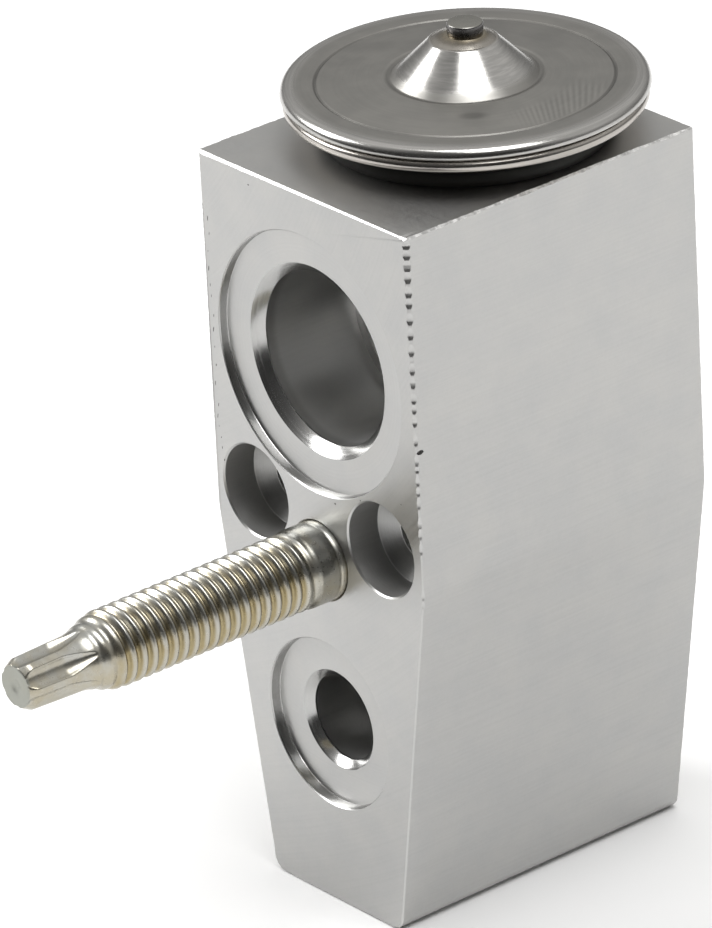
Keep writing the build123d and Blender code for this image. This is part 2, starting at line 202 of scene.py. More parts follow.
class Nodes:
    """Short names for the nodes of one tree. Each input takes a socket or a plain value."""

    def __init__(self, tree):
        self.tree = tree

    def add(self, kind):
        return self.tree.nodes.new("ShaderNode" + kind)

    def put(self, socket, value):
        if isinstance(value, bpy.types.NodeSocket):
            self.tree.links.new(value, socket)
        else:
            socket.default_value = value

    def math(self, operation, a, b=0.0, clamp=False):
        node = self.add("Math")
        node.operation = operation
        node.use_clamp = clamp
        self.put(node.inputs[0], a)
        self.put(node.inputs[1], b)
        return node.outputs[0]

    def plus(self, a, b):
        return self.math("ADD", a, b)

    def minus(self, a, b):
        return self.math("SUBTRACT", a, b)

    def times(self, a, b):
        return self.math("MULTIPLY", a, b)

    def larger(self, a, b):
        return self.math("MAXIMUM", a, b)

    def lighten(self, tone, mask, share):
        return self.plus(tone, self.times(mask, share))

    def darken(self, tone, mask, share):
        return self.minus(tone, self.times(mask, share))

    def ramp(self, value, low, high, out_low=0.0, out_high=1.0):
        """Maps low..high smoothly to out_low..out_high, held outside the range."""
        node = self.add("MapRange")
        node.interpolation_type = "SMOOTHSTEP"
        self.put(node.inputs["Value"], value)
        for socket, number in (("From Min", low), ("From Max", high),
                               ("To Min", out_low), ("To Max", out_high)):
            self.put(node.inputs[socket], number)
        return node.outputs["Result"]

    def fade(self, value, low, high):
        """One up to low and nothing from high on."""
        return self.ramp(value, low, high, 1.0, 0.0)

    def parts(self, socket):
        node = self.add("SeparateXYZ")
        self.put(node.inputs[0], socket)
        return node.outputs[0], node.outputs[1], node.outputs[2]

    def object_mm(self):
        """Object coordinates in millimetres: the vector and its three parts."""
        place = self.scaled(self.add("TexCoord").outputs["Object"], 1 / MM)
        return (place, *self.parts(place))

    def object_normal(self):
        """The three parts of the surface normal in the object's axes."""
        return self.parts(self.add("TexCoord").outputs["Normal"])

    def scaled(self, socket, factor):
        """A vector or a colour times a factor."""
        node = self.add("VectorMath")
        node.operation = "SCALE"
        self.put(node.inputs[0], socket)
        self.put(node.inputs["Scale"], factor)
        return node.outputs[0]

    def radius(self, u, v, u0, v0):
        """Distance from (u0, v0) in the plane of two coordinates."""
        du = self.minus(u, u0)
        dv = self.minus(v, v0)
        return self.math("SQRT", self.plus(self.times(du, du), self.times(dv, dv)))

    def noise(self, place, scale, detail, rough):
        node = self.add("TexNoise")
        self.put(node.inputs["Vector"], place)
        node.inputs["Scale"].default_value = scale
        node.inputs["Detail"].default_value = detail
        node.inputs["Roughness"].default_value = rough
        return node.outputs["Fac"]

    def streaks(self, x, y, z, detail, rough):
        """Noise in stretched coordinates."""
        place = self.add("CombineXYZ")
        for socket, value in zip(place.inputs, (x, y, z)):
            self.put(socket, value)
        return self.noise(place.outputs[0], 1.0, detail, rough)

    def mix_colour(self, factor, a, b):
        node = self.add("Mix")
        node.data_type = "RGBA"
        self.put(node.inputs[0], factor)
        self.put(node.inputs[6], a)
        self.put(node.inputs[7], b)
        return node.outputs[2]

    def mix_value(self, factor, a, b):
        node = self.add("Mix")
        self.put(node.inputs[0], factor)
        self.put(node.inputs[2], a)
        self.put(node.inputs[3], b)
        return node.outputs[0]

    def bump(self, height, depth_mm, strength):
        node = self.add("Bump")
        node.inputs["Strength"].default_value = strength
        node.inputs["Distance"].default_value = depth_mm * MM
        self.put(node.inputs["Height"], height)
        return node.outputs["Normal"]


class Paint(Nodes):
    """A material with one surface shader."""

    def __init__(self, name):
        self.material = bpy.data.materials.new(name)
        self.material.use_nodes = True
        super().__init__(self.material.node_tree)
        self.tree.nodes.clear()
        self.shader = self.add("BsdfPrincipled")
        output = self.add("OutputMaterial")
        self.tree.links.new(self.shader.outputs["BSDF"], output.inputs["Surface"])

    def surface(self, colour, rough, normal=None, metallic=1.0, specular=None):
        """Sets what the shader shows and hands back the material."""
        values = {"Base Color": colour, "Roughness": rough, "Normal": normal,
                  "Metallic": metallic, "Specular IOR Level": specular}
        for socket, value in values.items():
            if value is not None:
                self.put(self.shader.inputs[socket], value)
        return self.material


def aluminium_block():
    """Milled faces, streaked sides and turned ports of the block."""
    n = Paint("block_aluminium")
    place, x, y, z = n.object_mm()
    nx, ny, nz = n.object_normal()
    side = n.ramp(n.math("ABSOLUTE", nx), 0.75, 0.9)
    end = n.ramp(n.math("ABSOLUTE", ny), 0.85, 0.95)
    wall = n.minus(1.0, end)
    depth = n.minus(y, FRONT)

    # Streaks: along the depth on the sides, cutter arcs on the two machined faces
    along = n.streaks(x, n.times(y, 0.09), n.times(z, 4.0), 4.0, 0.62)
    arc = n.radius(x, z, -46.0, 58.0)
    arcs = n.streaks(n.times(arc, 3.6), n.times(x, 0.05), 0.0, 4.0, 0.65)
    suction = n.radius(x, z, 0.0, SUCTION_HEIGHT + FOOT)
    rings = n.streaks(n.times(suction, 5.0), 0.0, 0.0, 3.0, 0.6)
    faces = n.mix_value(n.ramp(depth, 0.4, 0.8), arcs, rings)
    bore_rings = n.streaks(0.0, n.times(y, 6.0), 0.0, 3.0, 0.6)
    grain = n.mix_value(end, n.mix_value(side, bore_rings, along), faces)
    mottle = n.noise(place, 0.22, 4.0, 0.6)
    speck = n.noise(place, 3.2, 3.0, 0.7)

    # Recess walls and chamfers of the ports are burnished; the walls of the screw holes are matt. These
    # masks also carry painted shade and painted light in the tone below
    inlet = n.radius(x, z, 0.0, INLET_HEIGHT + FOOT)
    inside = n.larger(n.math("LESS_THAN", suction, 13.3), n.math("LESS_THAN", inlet, 8.76))
    turned_wall = n.times(inside, n.times(wall, n.fade(depth, 2.0, 2.3)))
    hole = n.math("MINIMUM", n.radius(x, z, HOLE_OFFSET, HOLE_HEIGHT + FOOT),
                  n.radius(x, z, -HOLE_OFFSET, HOLE_HEIGHT + FOOT))
    in_hole = n.times(n.math("LESS_THAN", hole, 4.9), n.ramp(depth, 0.15, 0.3))
    in_hole = n.times(in_hole, n.fade(depth, 7.0, 8.0))
    hole_floor = n.times(in_hole, n.fade(hole, 4.6, 4.72))
    hole_wall = n.minus(in_hole, hole_floor)
    hole_rings = n.streaks(n.times(hole, 7.0), 0.0, 0.0, 2.0, 0.6)
    grain = n.mix_value(hole_floor, grain, hole_rings)
    deep_bore = n.times(n.math("LESS_THAN", suction, 9.2), n.times(wall, n.ramp(depth, 2.6, 3.6)))
    screw_bore = n.times(n.fade(hole, 2.78, 2.86), n.ramp(depth, 4.0, 4.6))
    screw_bore = n.times(screw_bore, n.fade(depth, 7.0, 9.0))

    # Painted shade round the foot of the head, partly a grease stain; painted shade down the left front
    # edge; a worn right top edge
    stain_and_shade = n.times(n.fade(n.radius(x, y, 0.0, AXIS_Y), 12.6, 15.2), n.ramp(z, TOP - 0.3, TOP - 0.1))
    left_edge_shade = n.times(n.fade(n.plus(x, HALF_WIDTH), 0.42, 0.62), n.fade(z, FOOT + 69.2, FOOT + 69.5))
    left_edge_shade = n.times(left_edge_shade, n.ramp(z, FOOT + 44.0, FOOT + 54.0, 0.3, 1.0))
    left_edge_shade = n.times(left_edge_shade, n.fade(depth, 0.3, 0.8))
    worn = n.times(n.ramp(n.times(nx, nz), 0.25, 0.42), n.ramp(z, FOOT + 74.1, FOOT + 74.3))
    patchy = n.ramp(n.noise(place, 1.3, 3.0, 0.7), 0.35, 0.65, 0.1, 0.9)

    tone = n.plus(n.ramp(grain, 0.25, 0.75, -0.035, 0.035), n.ramp(mottle, 0.3, 0.7, -0.015, 0.015))
    tone = n.plus(tone, n.ramp(speck, 0.3, 0.72, -0.02, 0.02))
    # Painted shade on the floors of the counterbores, darker towards their lower side
    tone = n.darken(tone, hole_floor, n.ramp(
        z, HOLE_HEIGHT + FOOT - 1.0, HOLE_HEIGHT + FOOT + 0.4, 0.44, 0.28))
    # Painted shade: the recess walls and chamfers of the ports a little darker
    tone = n.darken(tone, turned_wall, 0.07)
    # Painted shade: the end faces grow darker towards their right side
    tone = n.darken(tone, end, n.ramp(x, -10.0, 8.0, 0.035, 0.085))
    # Painted light on the walls of the suction bore beyond its mouth
    tone = n.lighten(tone, deep_bore, 0.36)
    # Painted light on the walls of the screw holes past their counterbores
    tone = n.lighten(tone, screw_bore, 0.8)
    # Painted shade round the foot of the head, with some grease
    tone = n.darken(tone, stain_and_shade, 0.6)
    # Painted shade down the left front edge
    tone = n.darken(tone, left_edge_shade, 0.5)
    tone = n.lighten(tone, worn, patchy)
    base = n.mix_colour(n.ramp(mottle, 0.25, 0.8), (0.475, 0.475, 0.470, 1), (0.486, 0.482, 0.469, 1))
    colour = n.scaled(base, n.plus(tone, 1.0))

    rough = n.plus(n.ramp(grain, 0.2, 0.8, 0.30, 0.42), n.ramp(speck, 0.3, 0.7, -0.03, 0.03))
    rough = n.lighten(rough, n.ramp(nz, 0.85, 0.95), 0.10)
    rough = n.mix_value(turned_wall, rough, n.ramp(bore_rings, 0.3, 0.7, 0.17, 0.25))
    rough = n.mix_value(n.larger(hole_wall, screw_bore), rough, 0.55)
    height = n.times(n.lighten(grain, speck, 0.35), n.darken(1.0, turned_wall, 0.8))
    return n.surface(colour, rough, n.bump(height, 0.012, 0.55))


def nick_material():
    """Torn metal with grime and painted shade inside nicks and cutter marks."""
    n = Paint("nick_grime_and_shade")
    spots = n.noise(n.object_mm()[0], 4.0, 3.0, 0.6)
    colour = n.mix_colour(n.ramp(spots, 0.35, 0.65), (0.05, 0.048, 0.045, 1), (0.16, 0.155, 0.15, 1))
    rough = n.ramp(spots, 0.3, 0.7, 0.45, 0.65)
    return n.surface(colour, rough, n.bump(spots, 0.02, 0.5), metallic=0.6)


def head_steel(name, warm=0.0):
    """Satin stainless sheet of the head, smoother on the rolled bead and on the cone."""
    n = Paint(name)
    place, x, y, z = n.object_mm()
    radius = n.radius(x, y, 0.0, AXIS_Y)
    angle = n.math("ARCTAN2", n.minus(y, AXIS_Y), x)
    spun = n.streaks(n.times(radius, 5.0), n.times(angle, 2.0), z, 4.0, 0.6)
    cloud = n.noise(place, 0.3, 4.0, 0.6)
    grain = n.noise(place, 7.0, 2.0, 0.6)
    upper_side = n.ramp(z, COVER_TOP + FOOT - 0.3, COVER_TOP + FOOT - 0.2)

    # Faint fan of chatter on one sector of the flat, between the cone and the scribed ring
    fan = n.math("ARCTAN2", n.minus(y, AXIS_Y - 14.9), n.minus(33.3, x))
    wave = n.math("SINE", n.times(fan, 320.0))
    sector = n.times(n.ramp(angle, -0.42, -0.05), n.fade(angle, 0.45, 0.75))
    ring = n.times(n.ramp(radius, 9.6, 11.4), n.fade(radius, 13.5, 14.1))
    chatter = n.times(n.times(wave, n.times(sector, ring)), upper_side)

    # Dirt: a long smudge, the scribed ring and the foot of the cone
    spot_x = n.minus(x, 8.1)
    spot_y = n.minus(y, AXIS_Y - 6.06)
    wide = n.plus(n.times(spot_x, 0.63), n.times(spot_y, 0.777))
    high = n.minus(n.times(spot_y, 0.63), n.times(spot_x, 0.777))
    smudge = n.fade(n.radius(n.times(wide, 0.55), high, 0.0, 0.0), 0.3, 1.0)
    scribed = n.fade(n.math("ABSOLUTE", n.minus(radius, SCRIBED_RADIUS)), 0.10, 0.24)
    groove = n.fade(n.math("ABSOLUTE", n.minus(radius, 7.3)), 0.10, 0.34)
    dirt = n.times(upper_side, n.larger(
        n.times(scribed, 0.34), n.larger(n.times(groove, 0.26), n.times(smudge, 0.30))))

    bead = n.ramp(radius, 15.6, 16.9)
    cone = n.ramp(z, CONE_FOOT + FOOT + 0.15, CONE_FOOT + FOOT + 0.9)
    dull = n.mix_colour(n.ramp(cloud, 0.3, 0.7), (0.294, 0.288, 0.272, 1), (0.317, 0.309, 0.291, 1))
    clean = n.mix_colour(n.ramp(spun, 0.3, 0.7), (0.42, 0.415, 0.40, 1), (0.50, 0.49, 0.475, 1))
    colour = n.mix_colour(n.larger(bead, cone), dull, clean)
    colour = n.mix_colour(warm, colour, (0.40, 0.345, 0.29, 1))
    weld = n.times(n.ramp(z, CONE_TOP + FOOT - 0.45, CONE_TOP + FOOT - 0.05), n.fade(radius, 3.0, 3.5))
    colour = n.mix_colour(n.times(weld, 0.6), colour, (0.28, 0.25, 0.21, 1))
    tone = n.plus(1.0, n.lighten(n.ramp(spun, 0.3, 0.7, -0.03, 0.03), chatter, 0.11))
    colour = n.scaled(colour, n.minus(tone, dirt))

    rough = n.mix_value(bead, n.ramp(cloud, 0.3, 0.7, 0.33, 0.40), n.ramp(spun, 0.3, 0.7, 0.17, 0.25))
    rough = n.mix_value(cone, rough, n.ramp(cloud, 0.3, 0.7, 0.14, 0.19))
    height = n.lighten(n.times(spun, 0.6), grain, 0.4)
    height = n.times(n.lighten(height, chatter, 0.5), n.darken(1.0, cone, 0.7))
    return n.surface(colour, rough, n.bump(height, 0.012, 0.5))


def plug_steel():
    """Filling plug: dark steel with a brown heat tint on its weld, which fades upwards; painted light
    makes its upward faces lighter than its sides.
    """
    n = Paint("plug_steel")
    place, x, y, z = n.object_mm()
    nz = n.object_normal()[2]
    spots = n.noise(place, 1.6, 3.0, 0.6)
    level = n.lighten(z, spots, 0.3)
    low = n.fade(level, CONE_TOP + FOOT + 0.55, CONE_TOP + FOOT + 1.0)
    # Painted light: faces that look up are lighter than the sides
    top_lit_steel = n.mix_colour(n.ramp(nz, 0.5, 0.9), (0.17, 0.165, 0.165, 1), (0.30, 0.295, 0.27, 1))
    tint = n.mix_colour(n.ramp(level, CONE_TOP + FOOT + 0.45, CONE_TOP + FOOT + 0.8),
                        (0.22, 0.20, 0.17, 1), (0.26, 0.215, 0.14, 1))
    collar = n.ramp(n.radius(x, y, 0.0, AXIS_Y), 2.3, 2.9)
    tint = n.mix_colour(collar, tint, (0.33, 0.31, 0.28, 1))
    rough = n.ramp(spots, 0.3, 0.7, 0.24, 0.34)
    return n.surface(n.mix_colour(low, top_lit_steel, tint), rough, n.bump(spots, 0.03, 0.4))


def stud_zinc():
    """Bright zinc with a pale yellow passivation that varies in patches; painted shade makes the lower
    half and its thread roots yellower and darker.
    """
    n = Paint("stud_zinc")
    place, x, y, z = n.object_mm()
    patch = n.noise(place, 0.45, 3.0, 0.6)
    fine = n.noise(place, 3.0, 4.0, 0.65)
    dents = n.noise(place, 0.8, 1.0, 0.4)
    radius = n.radius(x, z, 0.0, STUD_HEIGHT + FOOT)
    # Painted shade: the lower half is yellower, and the thread roots yellower still and darker there,
    # partly grime
    root = n.times(n.fade(radius, 3.5, 3.84), n.ramp(y, FRONT - 28.0, FRONT - 26.0))
    below = n.fade(z, STUD_HEIGHT + FOOT - 1.0, STUD_HEIGHT + FOOT + 3.4)
    gold = n.plus(n.ramp(patch, 0.35, 0.7, 0.05, 0.35),
                  n.times(root, n.ramp(below, 0.0, 1.0, 0.35, 0.75)))
    gold = n.math("ADD", gold, n.times(below, 0.22), clamp=True)
    colour = n.mix_colour(gold, (0.455, 0.46, 0.44, 1), (0.37, 0.305, 0.17, 1))
    grime_and_shade = n.times(n.times(root, below), n.ramp(fine, 0.35, 0.7, 0.18, 0.38))
    colour = n.mix_colour(grime_and_shade, colour, (0.20, 0.175, 0.12, 1))
    end_face = n.times(n.fade(y, FRONT - STUD_REACH + 0.22, FRONT - STUD_REACH + 0.28),
                       n.fade(radius, 2.05, 2.12))
    colour = n.mix_colour(n.times(end_face, 0.8), colour, (0.33, 0.34, 0.31, 1))
    rough = n.mix_value(end_face, n.ramp(fine, 0.3, 0.7, 0.27, 0.31), 0.45)
    return n.surface(colour, rough, n.bump(dents, 0.05, 0.6))


def plain_metal(name, dark, light, rough_low, rough_high):
    """Turned or drawn metal for the inner parts, with fine rings along the height."""
    n = Paint(name)
    _, x, y, z = n.object_mm()
    rings = n.streaks(n.times(x, 0.1), n.times(y, 0.1), n.times(z, 4.0), 3.0, 0.6)
    colour = n.mix_colour(n.ramp(rings, 0.3, 0.7), (*dark, 1), (*light, 1))
    rough = n.ramp(rings, 0.3, 0.7, rough_low, rough_high)
    return n.surface(colour, rough, n.bump(rings, 0.01, 0.5))


def rubber():
    """Moulded seal rubber, with painted shade under the head: darker inwards, paler at its rim."""
    n = Paint("seal_rubber")
    place, x, y, _ = n.object_mm()
    fine = n.noise(place, 6.0, 3.0, 0.6)
    # Painted shade under the head: the seal is darker inwards, paler at its rim
    rim = n.ramp(n.radius(x, y, 0.0, AXIS_Y), 13.0, 14.2)
    dark = n.mix_colour(fine, (0.005, 0.006, 0.006, 1), (0.011, 0.012, 0.011, 1))
    colour = n.mix_colour(rim, dark, (0.045, 0.045, 0.042, 1))
    rough = n.ramp(fine, 0.3, 0.7, 0.65, 0.8)
    return n.surface(colour, rough, n.bump(fine, 0.02, 0.4), metallic=0.0, specular=0.25)


def floor_paint():
    """Plain pale floor."""
    n = Paint("floor_paint")
    cloud = n.noise(n.object_mm()[0], 0.004, 2.0, 0.5)
    colour = n.mix_colour(cloud, (0.975, 0.975, 0.975, 1), (0.985, 0.985, 0.985, 1))
    return n.surface(colour, 0.9, metallic=0.0, specular=0.1)


block_metal = aluminium_block()
grime_and_shade = nick_material()
sheet_metal = head_steel("head_stainless")
lower_metal = head_steel("head_stainless_lower", 0.35)

# Block: a dense outline through rings from front to rear, so that its edges can be uneven.
# The outline is finest down the right side, where the cutter's strokes show.
PITCH_LEFT = 0.8
PITCH_RIGHT_AND_TOP = 0.2
PITCH_RIGHT_EDGE = 0.1
outline = rounded(
    [(-FOOT_WIDTH / 2, 0), (FOOT_WIDTH / 2, 0), (HALF_WIDTH, BEND_HEIGHT),
     (HALF_WIDTH, BLOCK_HEIGHT), (-HALF_WIDTH, BLOCK_HEIGHT), (-HALF_WIDTH, BEND_HEIGHT)],
    {0: FOOT_CORNER, 1: FOOT_CORNER, 2: BEND_RADIUS, 5: BEND_RADIUS}, 1.2,
)
dense = []
for i, start in enumerate(outline):
    stop = outline[(i + 1) % len(outline)]
    if start.x > 14 and stop.x > 14:
        pitch = PITCH_RIGHT_EDGE
    elif start.x > 0 or start.y > BLOCK_HEIGHT - 1:
        pitch = PITCH_RIGHT_AND_TOP
    else:
        pitch = PITCH_LEFT
    parts = max(1, math.ceil((stop - start).length / pitch))
    dense += [start.lerp(stop, k / parts) for k in range(parts)]


def outward(points, i):
    """Outward mitre direction of a closed counter-clockwise outline at a point."""
    before = (points[i] - points[i - 1]).normalized()
    after = (points[(i + 1) % len(points)] - points[i]).normalized()
    a = Vector((before.y, -before.x))
    b = Vector((after.y, -after.x))
    return (a + b) / (1 + a.dot(b))


mitres = [outward(dense, i) for i in range(len(dense))]

# Where each stroke of the cutter ended down the front right edge
strokes = [BLOCK_HEIGHT - 0.35]
for stroke in (0.8, 1.0, 1.25, 1.15, 1.5, 1.05, 1.65, 1.55, 1.65, 1.9, 1.4, 1.65, 0.95, 1.35, 1.95,
               2.1, 0.7, 1.45, 1.0, 1.3, 2.05, 1.15, 1.55, 4.8, 0.9):
    strokes.append(strokes[-1] - stroke)

# Rings of the block: place along the depth, share of the edge's width, and the face it belongs to
MIDDLE, AT_FRONT, AT_REAR = 0, 1, 2
edge_steps = [(0.0, 1.06), (0.07, 0.93), (0.5, 0.5), (0.93, 0.07), (1.06, 0.0)]
rings = [(FRONT + EDGE_BREAK * back, inset, AT_FRONT) for back, inset in edge_steps]
rings += [(FRONT + 2.0 + 3.2 * k, 0.0, MIDDLE) for k in range(11)]
rings += [(REAR - EDGE_BREAK * back, inset, AT_REAR) for back, inset in reversed(edge_steps)]


def held(value):
    """A share held between nothing and one."""
    return min(1.0, max(0.0, value))


def scallop(height):
    """Extra width of the chattered front right edge: one hollow per stroke of the cutter."""
    for low, high in zip(strokes[1:], strokes):
        if low < height <= high:
            fade = 0.45 + 0.55 * (low - 36.0) / (BLOCK_HEIGHT - 36.0)
            span = min(1.0, (height - low) / min(1.15, high - low))
            hollow = 1.0 - ((span - 0.42) / (0.42 if span < 0.42 else 0.58)) ** 2
            return 0.20 * fade * hollow
    return 0.0


def edge_width(point, which):
    """How wide the broken edge is at an outline point; cutters and burrs leave it uneven."""
    uneven = noise.noise(Vector((point.x * 0.9, point.y * 0.9, which * 7.0)))
    ragged = noise.noise(Vector((point.x * 3.1, point.y * 3.1, which * 3.0 + 1.0)))
    if which == AT_REAR:
        return EDGE_BREAK * (1 + 0.12 * uneven + 0.12 * ragged)
    if point.y > BLOCK_HEIGHT - 0.02:
        across = (point.x + HALF_WIDTH) / BLOCK_WIDTH
        corner = 0.14 * held((across - 0.95) / 0.05)
        return (0.27 - 0.15 * min(across, 0.9) + corner) * (1 + 0.10 * uneven + 0.34 * ragged)
    if point.x > 0 and point.y > 2.0:
        upper = held((point.y - 34.0) / 39.0)
        return (0.12 + 0.20 * upper * upper) * (1 + 0.15 * ragged) + scallop(point.y)
    if point.x < 0 and point.y > 2.0:
        upper = held((point.y - 34.0) / 30.0)
        return (0.20 + 0.22 * upper) * (1 + 0.12 * ragged)
    return 0.16 * (1 + 0.3 * ragged)


def drawn_in(point, mitre, width, which):
    """An outline point moved in over the broken edge; near a top corner both sides give way."""
    hand = math.copysign(1.0, point.x)
    from_side = HALF_WIDTH - abs(point.x)
    from_top = BLOCK_HEIGHT - point.y
    if max(from_side, from_top) > 1.0:
        return point - mitre * width
    share = width / max(1e-9, edge_width(point, which))
    if from_top < 0.02:
        side = edge_width(Vector((hand * HALF_WIDTH, BLOCK_HEIGHT - 0.1)), which) * share
        return Vector((point.x - hand * side * (1.0 - from_side), point.y - width))
    top = edge_width(Vector((hand * HALF_WIDTH, BLOCK_HEIGHT)), which) * share
    return Vector((point.x - hand * width, point.y - top * (1.0 - from_top)))


bm = bmesh.new()
loops = []
for level, inset, which in rings:
    loop = []
    for point, mitre in zip(dense, mitres):
        moved, y = point, level
        if which != MIDDLE:
            width = edge_width(point, which)
            face = FRONT if which == AT_FRONT else REAR
            moved = drawn_in(point, mitre, width * inset, which)
            y = face + (level - face) * width / EDGE_BREAK
        loop.append(bm.verts.new((moved.x, y, moved.y + FOOT)))
    loops.append(loop)
skin(bm, loops)
block = mesh_object("block", bm, None)
block.data.materials.append(block_metal)
block.data.materials.append(grime_and_shade)


def lip(radius, size):
    """The start of a cutter's profile: an edge break that runs on outside the face."""
    return [(0, -1.0), (radius + size + 1.0, -1.0), (radius, size)]


def port_profile(recess, recess_depth, mouth, bore, depth, core, reach, floor_slope=DRILL_SLOPE):
    """A stepped pipe port, with small edge breaks and corner radii as the tools leave them."""
    return lip(recess, 0.12) + [
        (recess, recess_depth - 0.15), (recess - 0.05, recess_depth - 0.05),
        (recess - 0.15, recess_depth), (mouth + 0.05, recess_depth), (mouth, recess_depth + 0.03),
        (bore + 0.04, recess_depth + mouth - bore - 0.04), (bore, recess_depth + mouth - bore + 0.02),
        (bore, depth), (core, depth + (bore - core) * floor_slope), (core, reach), (0, reach),
    ]


half_depth = -FRONT / 2
cutters = []
for side, depth in ((FRONT, SUCTION_FRONT_DEPTH), (REAR, SUCTION_REAR_DEPTH)):
    profile = port_profile(**SUCTION, depth=depth, reach=half_depth + 1, floor_slope=0)
    cutters.append(turned("suction", profile, into_face(side, 0, SUCTION_HEIGHT)))
profile = port_profile(**INLET, depth=INLET_DEPTH, reach=half_depth + 2.8)
cutters.append(turned("inlet", profile, into_face(FRONT, 0, INLET_HEIGHT), 192))
profile = port_profile(**OUTLET, depth=OUTLET_DEPTH, reach=half_depth - 0.8)
cutters.append(turned("outlet", profile, into_face(REAR, 0, OUTLET_HEIGHT), 192))
for x in (-HOLE_OFFSET, HOLE_OFFSET):
    step = (COUNTERBORE_RADIUS - HOLE_RADIUS) * DRILL_SLOPE
    cutters.append(turned("hole", lip(COUNTERBORE_RADIUS, 0.16) + [
        (COUNTERBORE_RADIUS, COUNTERBORE_DEPTH), (HOLE_RADIUS, COUNTERBORE_DEPTH + step),
        (HOLE_RADIUS, -FRONT + 1), (0, -FRONT + 1),
    ], into_face(FRONT, x, HOLE_HEIGHT), 160))
stud_floor = STUD_ENGAGEMENT + 0.05
cutters.append(turned("stud_hole", lip(STUD_HOLE_RADIUS, 0.12) + [
    (STUD_HOLE_RADIUS, stud_floor), (0, stud_floor + STUD_HOLE_RADIUS * DRILL_SLOPE),
], into_face(FRONT, 0, STUD_HEIGHT), 128))
cutters.append(turned("foot_bore", [
    (0, -1), (SCREW_BORE_RADIUS + 1.5, -1), (SCREW_BORE_RADIUS, 0.5),
    (SCREW_BORE_RADIUS, SCREW_BORE_DEPTH), (CHAMBER_RADIUS, SCREW_BORE_DEPTH + 0.6),
    (CHAMBER_RADIUS, CHAMBER_TOP), (SEAT_RADIUS, CHAMBER_TOP),
    (ORIFICE_RADIUS, CHAMBER_TOP + 0.7), (ORIFICE_RADIUS, OUTLET_HEIGHT), (0, OUTLET_HEIGHT),
], ON_AXIS, 128))
cutters.append(turned("head_bore", [
    (0, BLOCK_HEIGHT + 1), (14.25, BLOCK_HEIGHT + 1), (12.0, BLOCK_HEIGHT - 1.25),
    (12.0, NECK_FOOT - 0.8), (5.0, NECK_FOOT - 0.8), (5.0, SUCTION_HEIGHT),
    (4.6, SUCTION_HEIGHT), (4.6, 45.0), (3.05, 45.0), (3.05, 41.1), (1.05, 41.1),
    (1.05, OUTLET_HEIGHT), (0, OUTLET_HEIGHT),
], ON_AXIS, 192))


def edge_plane(side, start, stop):
    """A wedge that breaks a top edge along the depth by an uneven 0.1 to 0.3 mm."""
    wedge = bmesh.new()
    rows = []
    wall = side * HALF_WIDTH
    count = round((stop - start) / 0.4)
    for k in range(count + 1):
        y = start + (stop - start) * k / count
        slow = noise.noise(Vector((y * 0.45, side * 3.0, 0)))
        quick = noise.noise(Vector((y * 1.6, side * 5.0, 2)))
        size = max(0.08, 0.20 + 0.12 * slow + 0.12 * quick)
        rows.append([wedge.verts.new((wall + side * 1.0, y, TOP - size - 1.0)),
                     wedge.verts.new((wall + side * 1.0, y, TOP + 1.0)),
                     wedge.verts.new((wall - side * (size + 1.0), y, TOP + 1.0))])
    skin(wedge, rows)
    return mesh_object("edge", wedge, None)


for side in (-1, 1):
    cutters.append(edge_plane(side, FRONT - 0.5, REAR + 0.5))


# Small nicks on the front face, each clear of the next
draw = random.Random(11)
scoops = bmesh.new()


def scoop(centre, size, tilt):
    """A small blunt gouge: a squashed ball, turned by tilt about the depth axis."""
    turn = Matrix.Rotation(tilt, 4, "Y") @ Matrix.Diagonal((*size, 1))
    bmesh.ops.create_icosphere(
        scoops, subdivisions=2, radius=1.0, matrix=Matrix.Translation(centre) @ turn)


height = 68.0
while height > 42.0:
    scoop((-HALF_WIDTH + draw.uniform(0.8, 1.5), FRONT, FOOT + height),
          (draw.uniform(0.04, 0.07), 0.03, draw.uniform(0.06, 0.3)), draw.uniform(-0.1, 0.3))
    height -= draw.uniform(0.9, 2.2)
for x, height, length in (
    (-7.6, 73.4, 0.1), (2.8, 43.6, 0.12), (9.0, 45.7, 0.14), (12.6, 46.8, 0.09),
    (6.6, 45.2, 0.08), (9.9, 57.9, 0.07), (-13.9, 26.0, 0.1),
):
    scoop((x, FRONT, FOOT + height), (length, 0.05, length * 0.8), 0.4)
scoop((15.18, FRONT + 0.5, FOOT + 52.9), (0.24, 0.42, 0.24), 0.0)
marks = mesh_object("marks", scoops, None)
# The nicks and cutter marks take the dark nick material: grime with painted shade in their hollows.
marks.data.materials.append(grime_and_shade)
cutters.append(marks)

for cutter in cutters:
    if not cutter.data.materials:
        cutter.data.materials.append(block_metal)
    cut(block, cutter)
block.data.polygons.foreach_set("use_smooth", [True] * len(block.data.polygons))
block.data.set_sharp_from_angle(angle=math.radians(28))
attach(block, "housing")
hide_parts("valve_body")

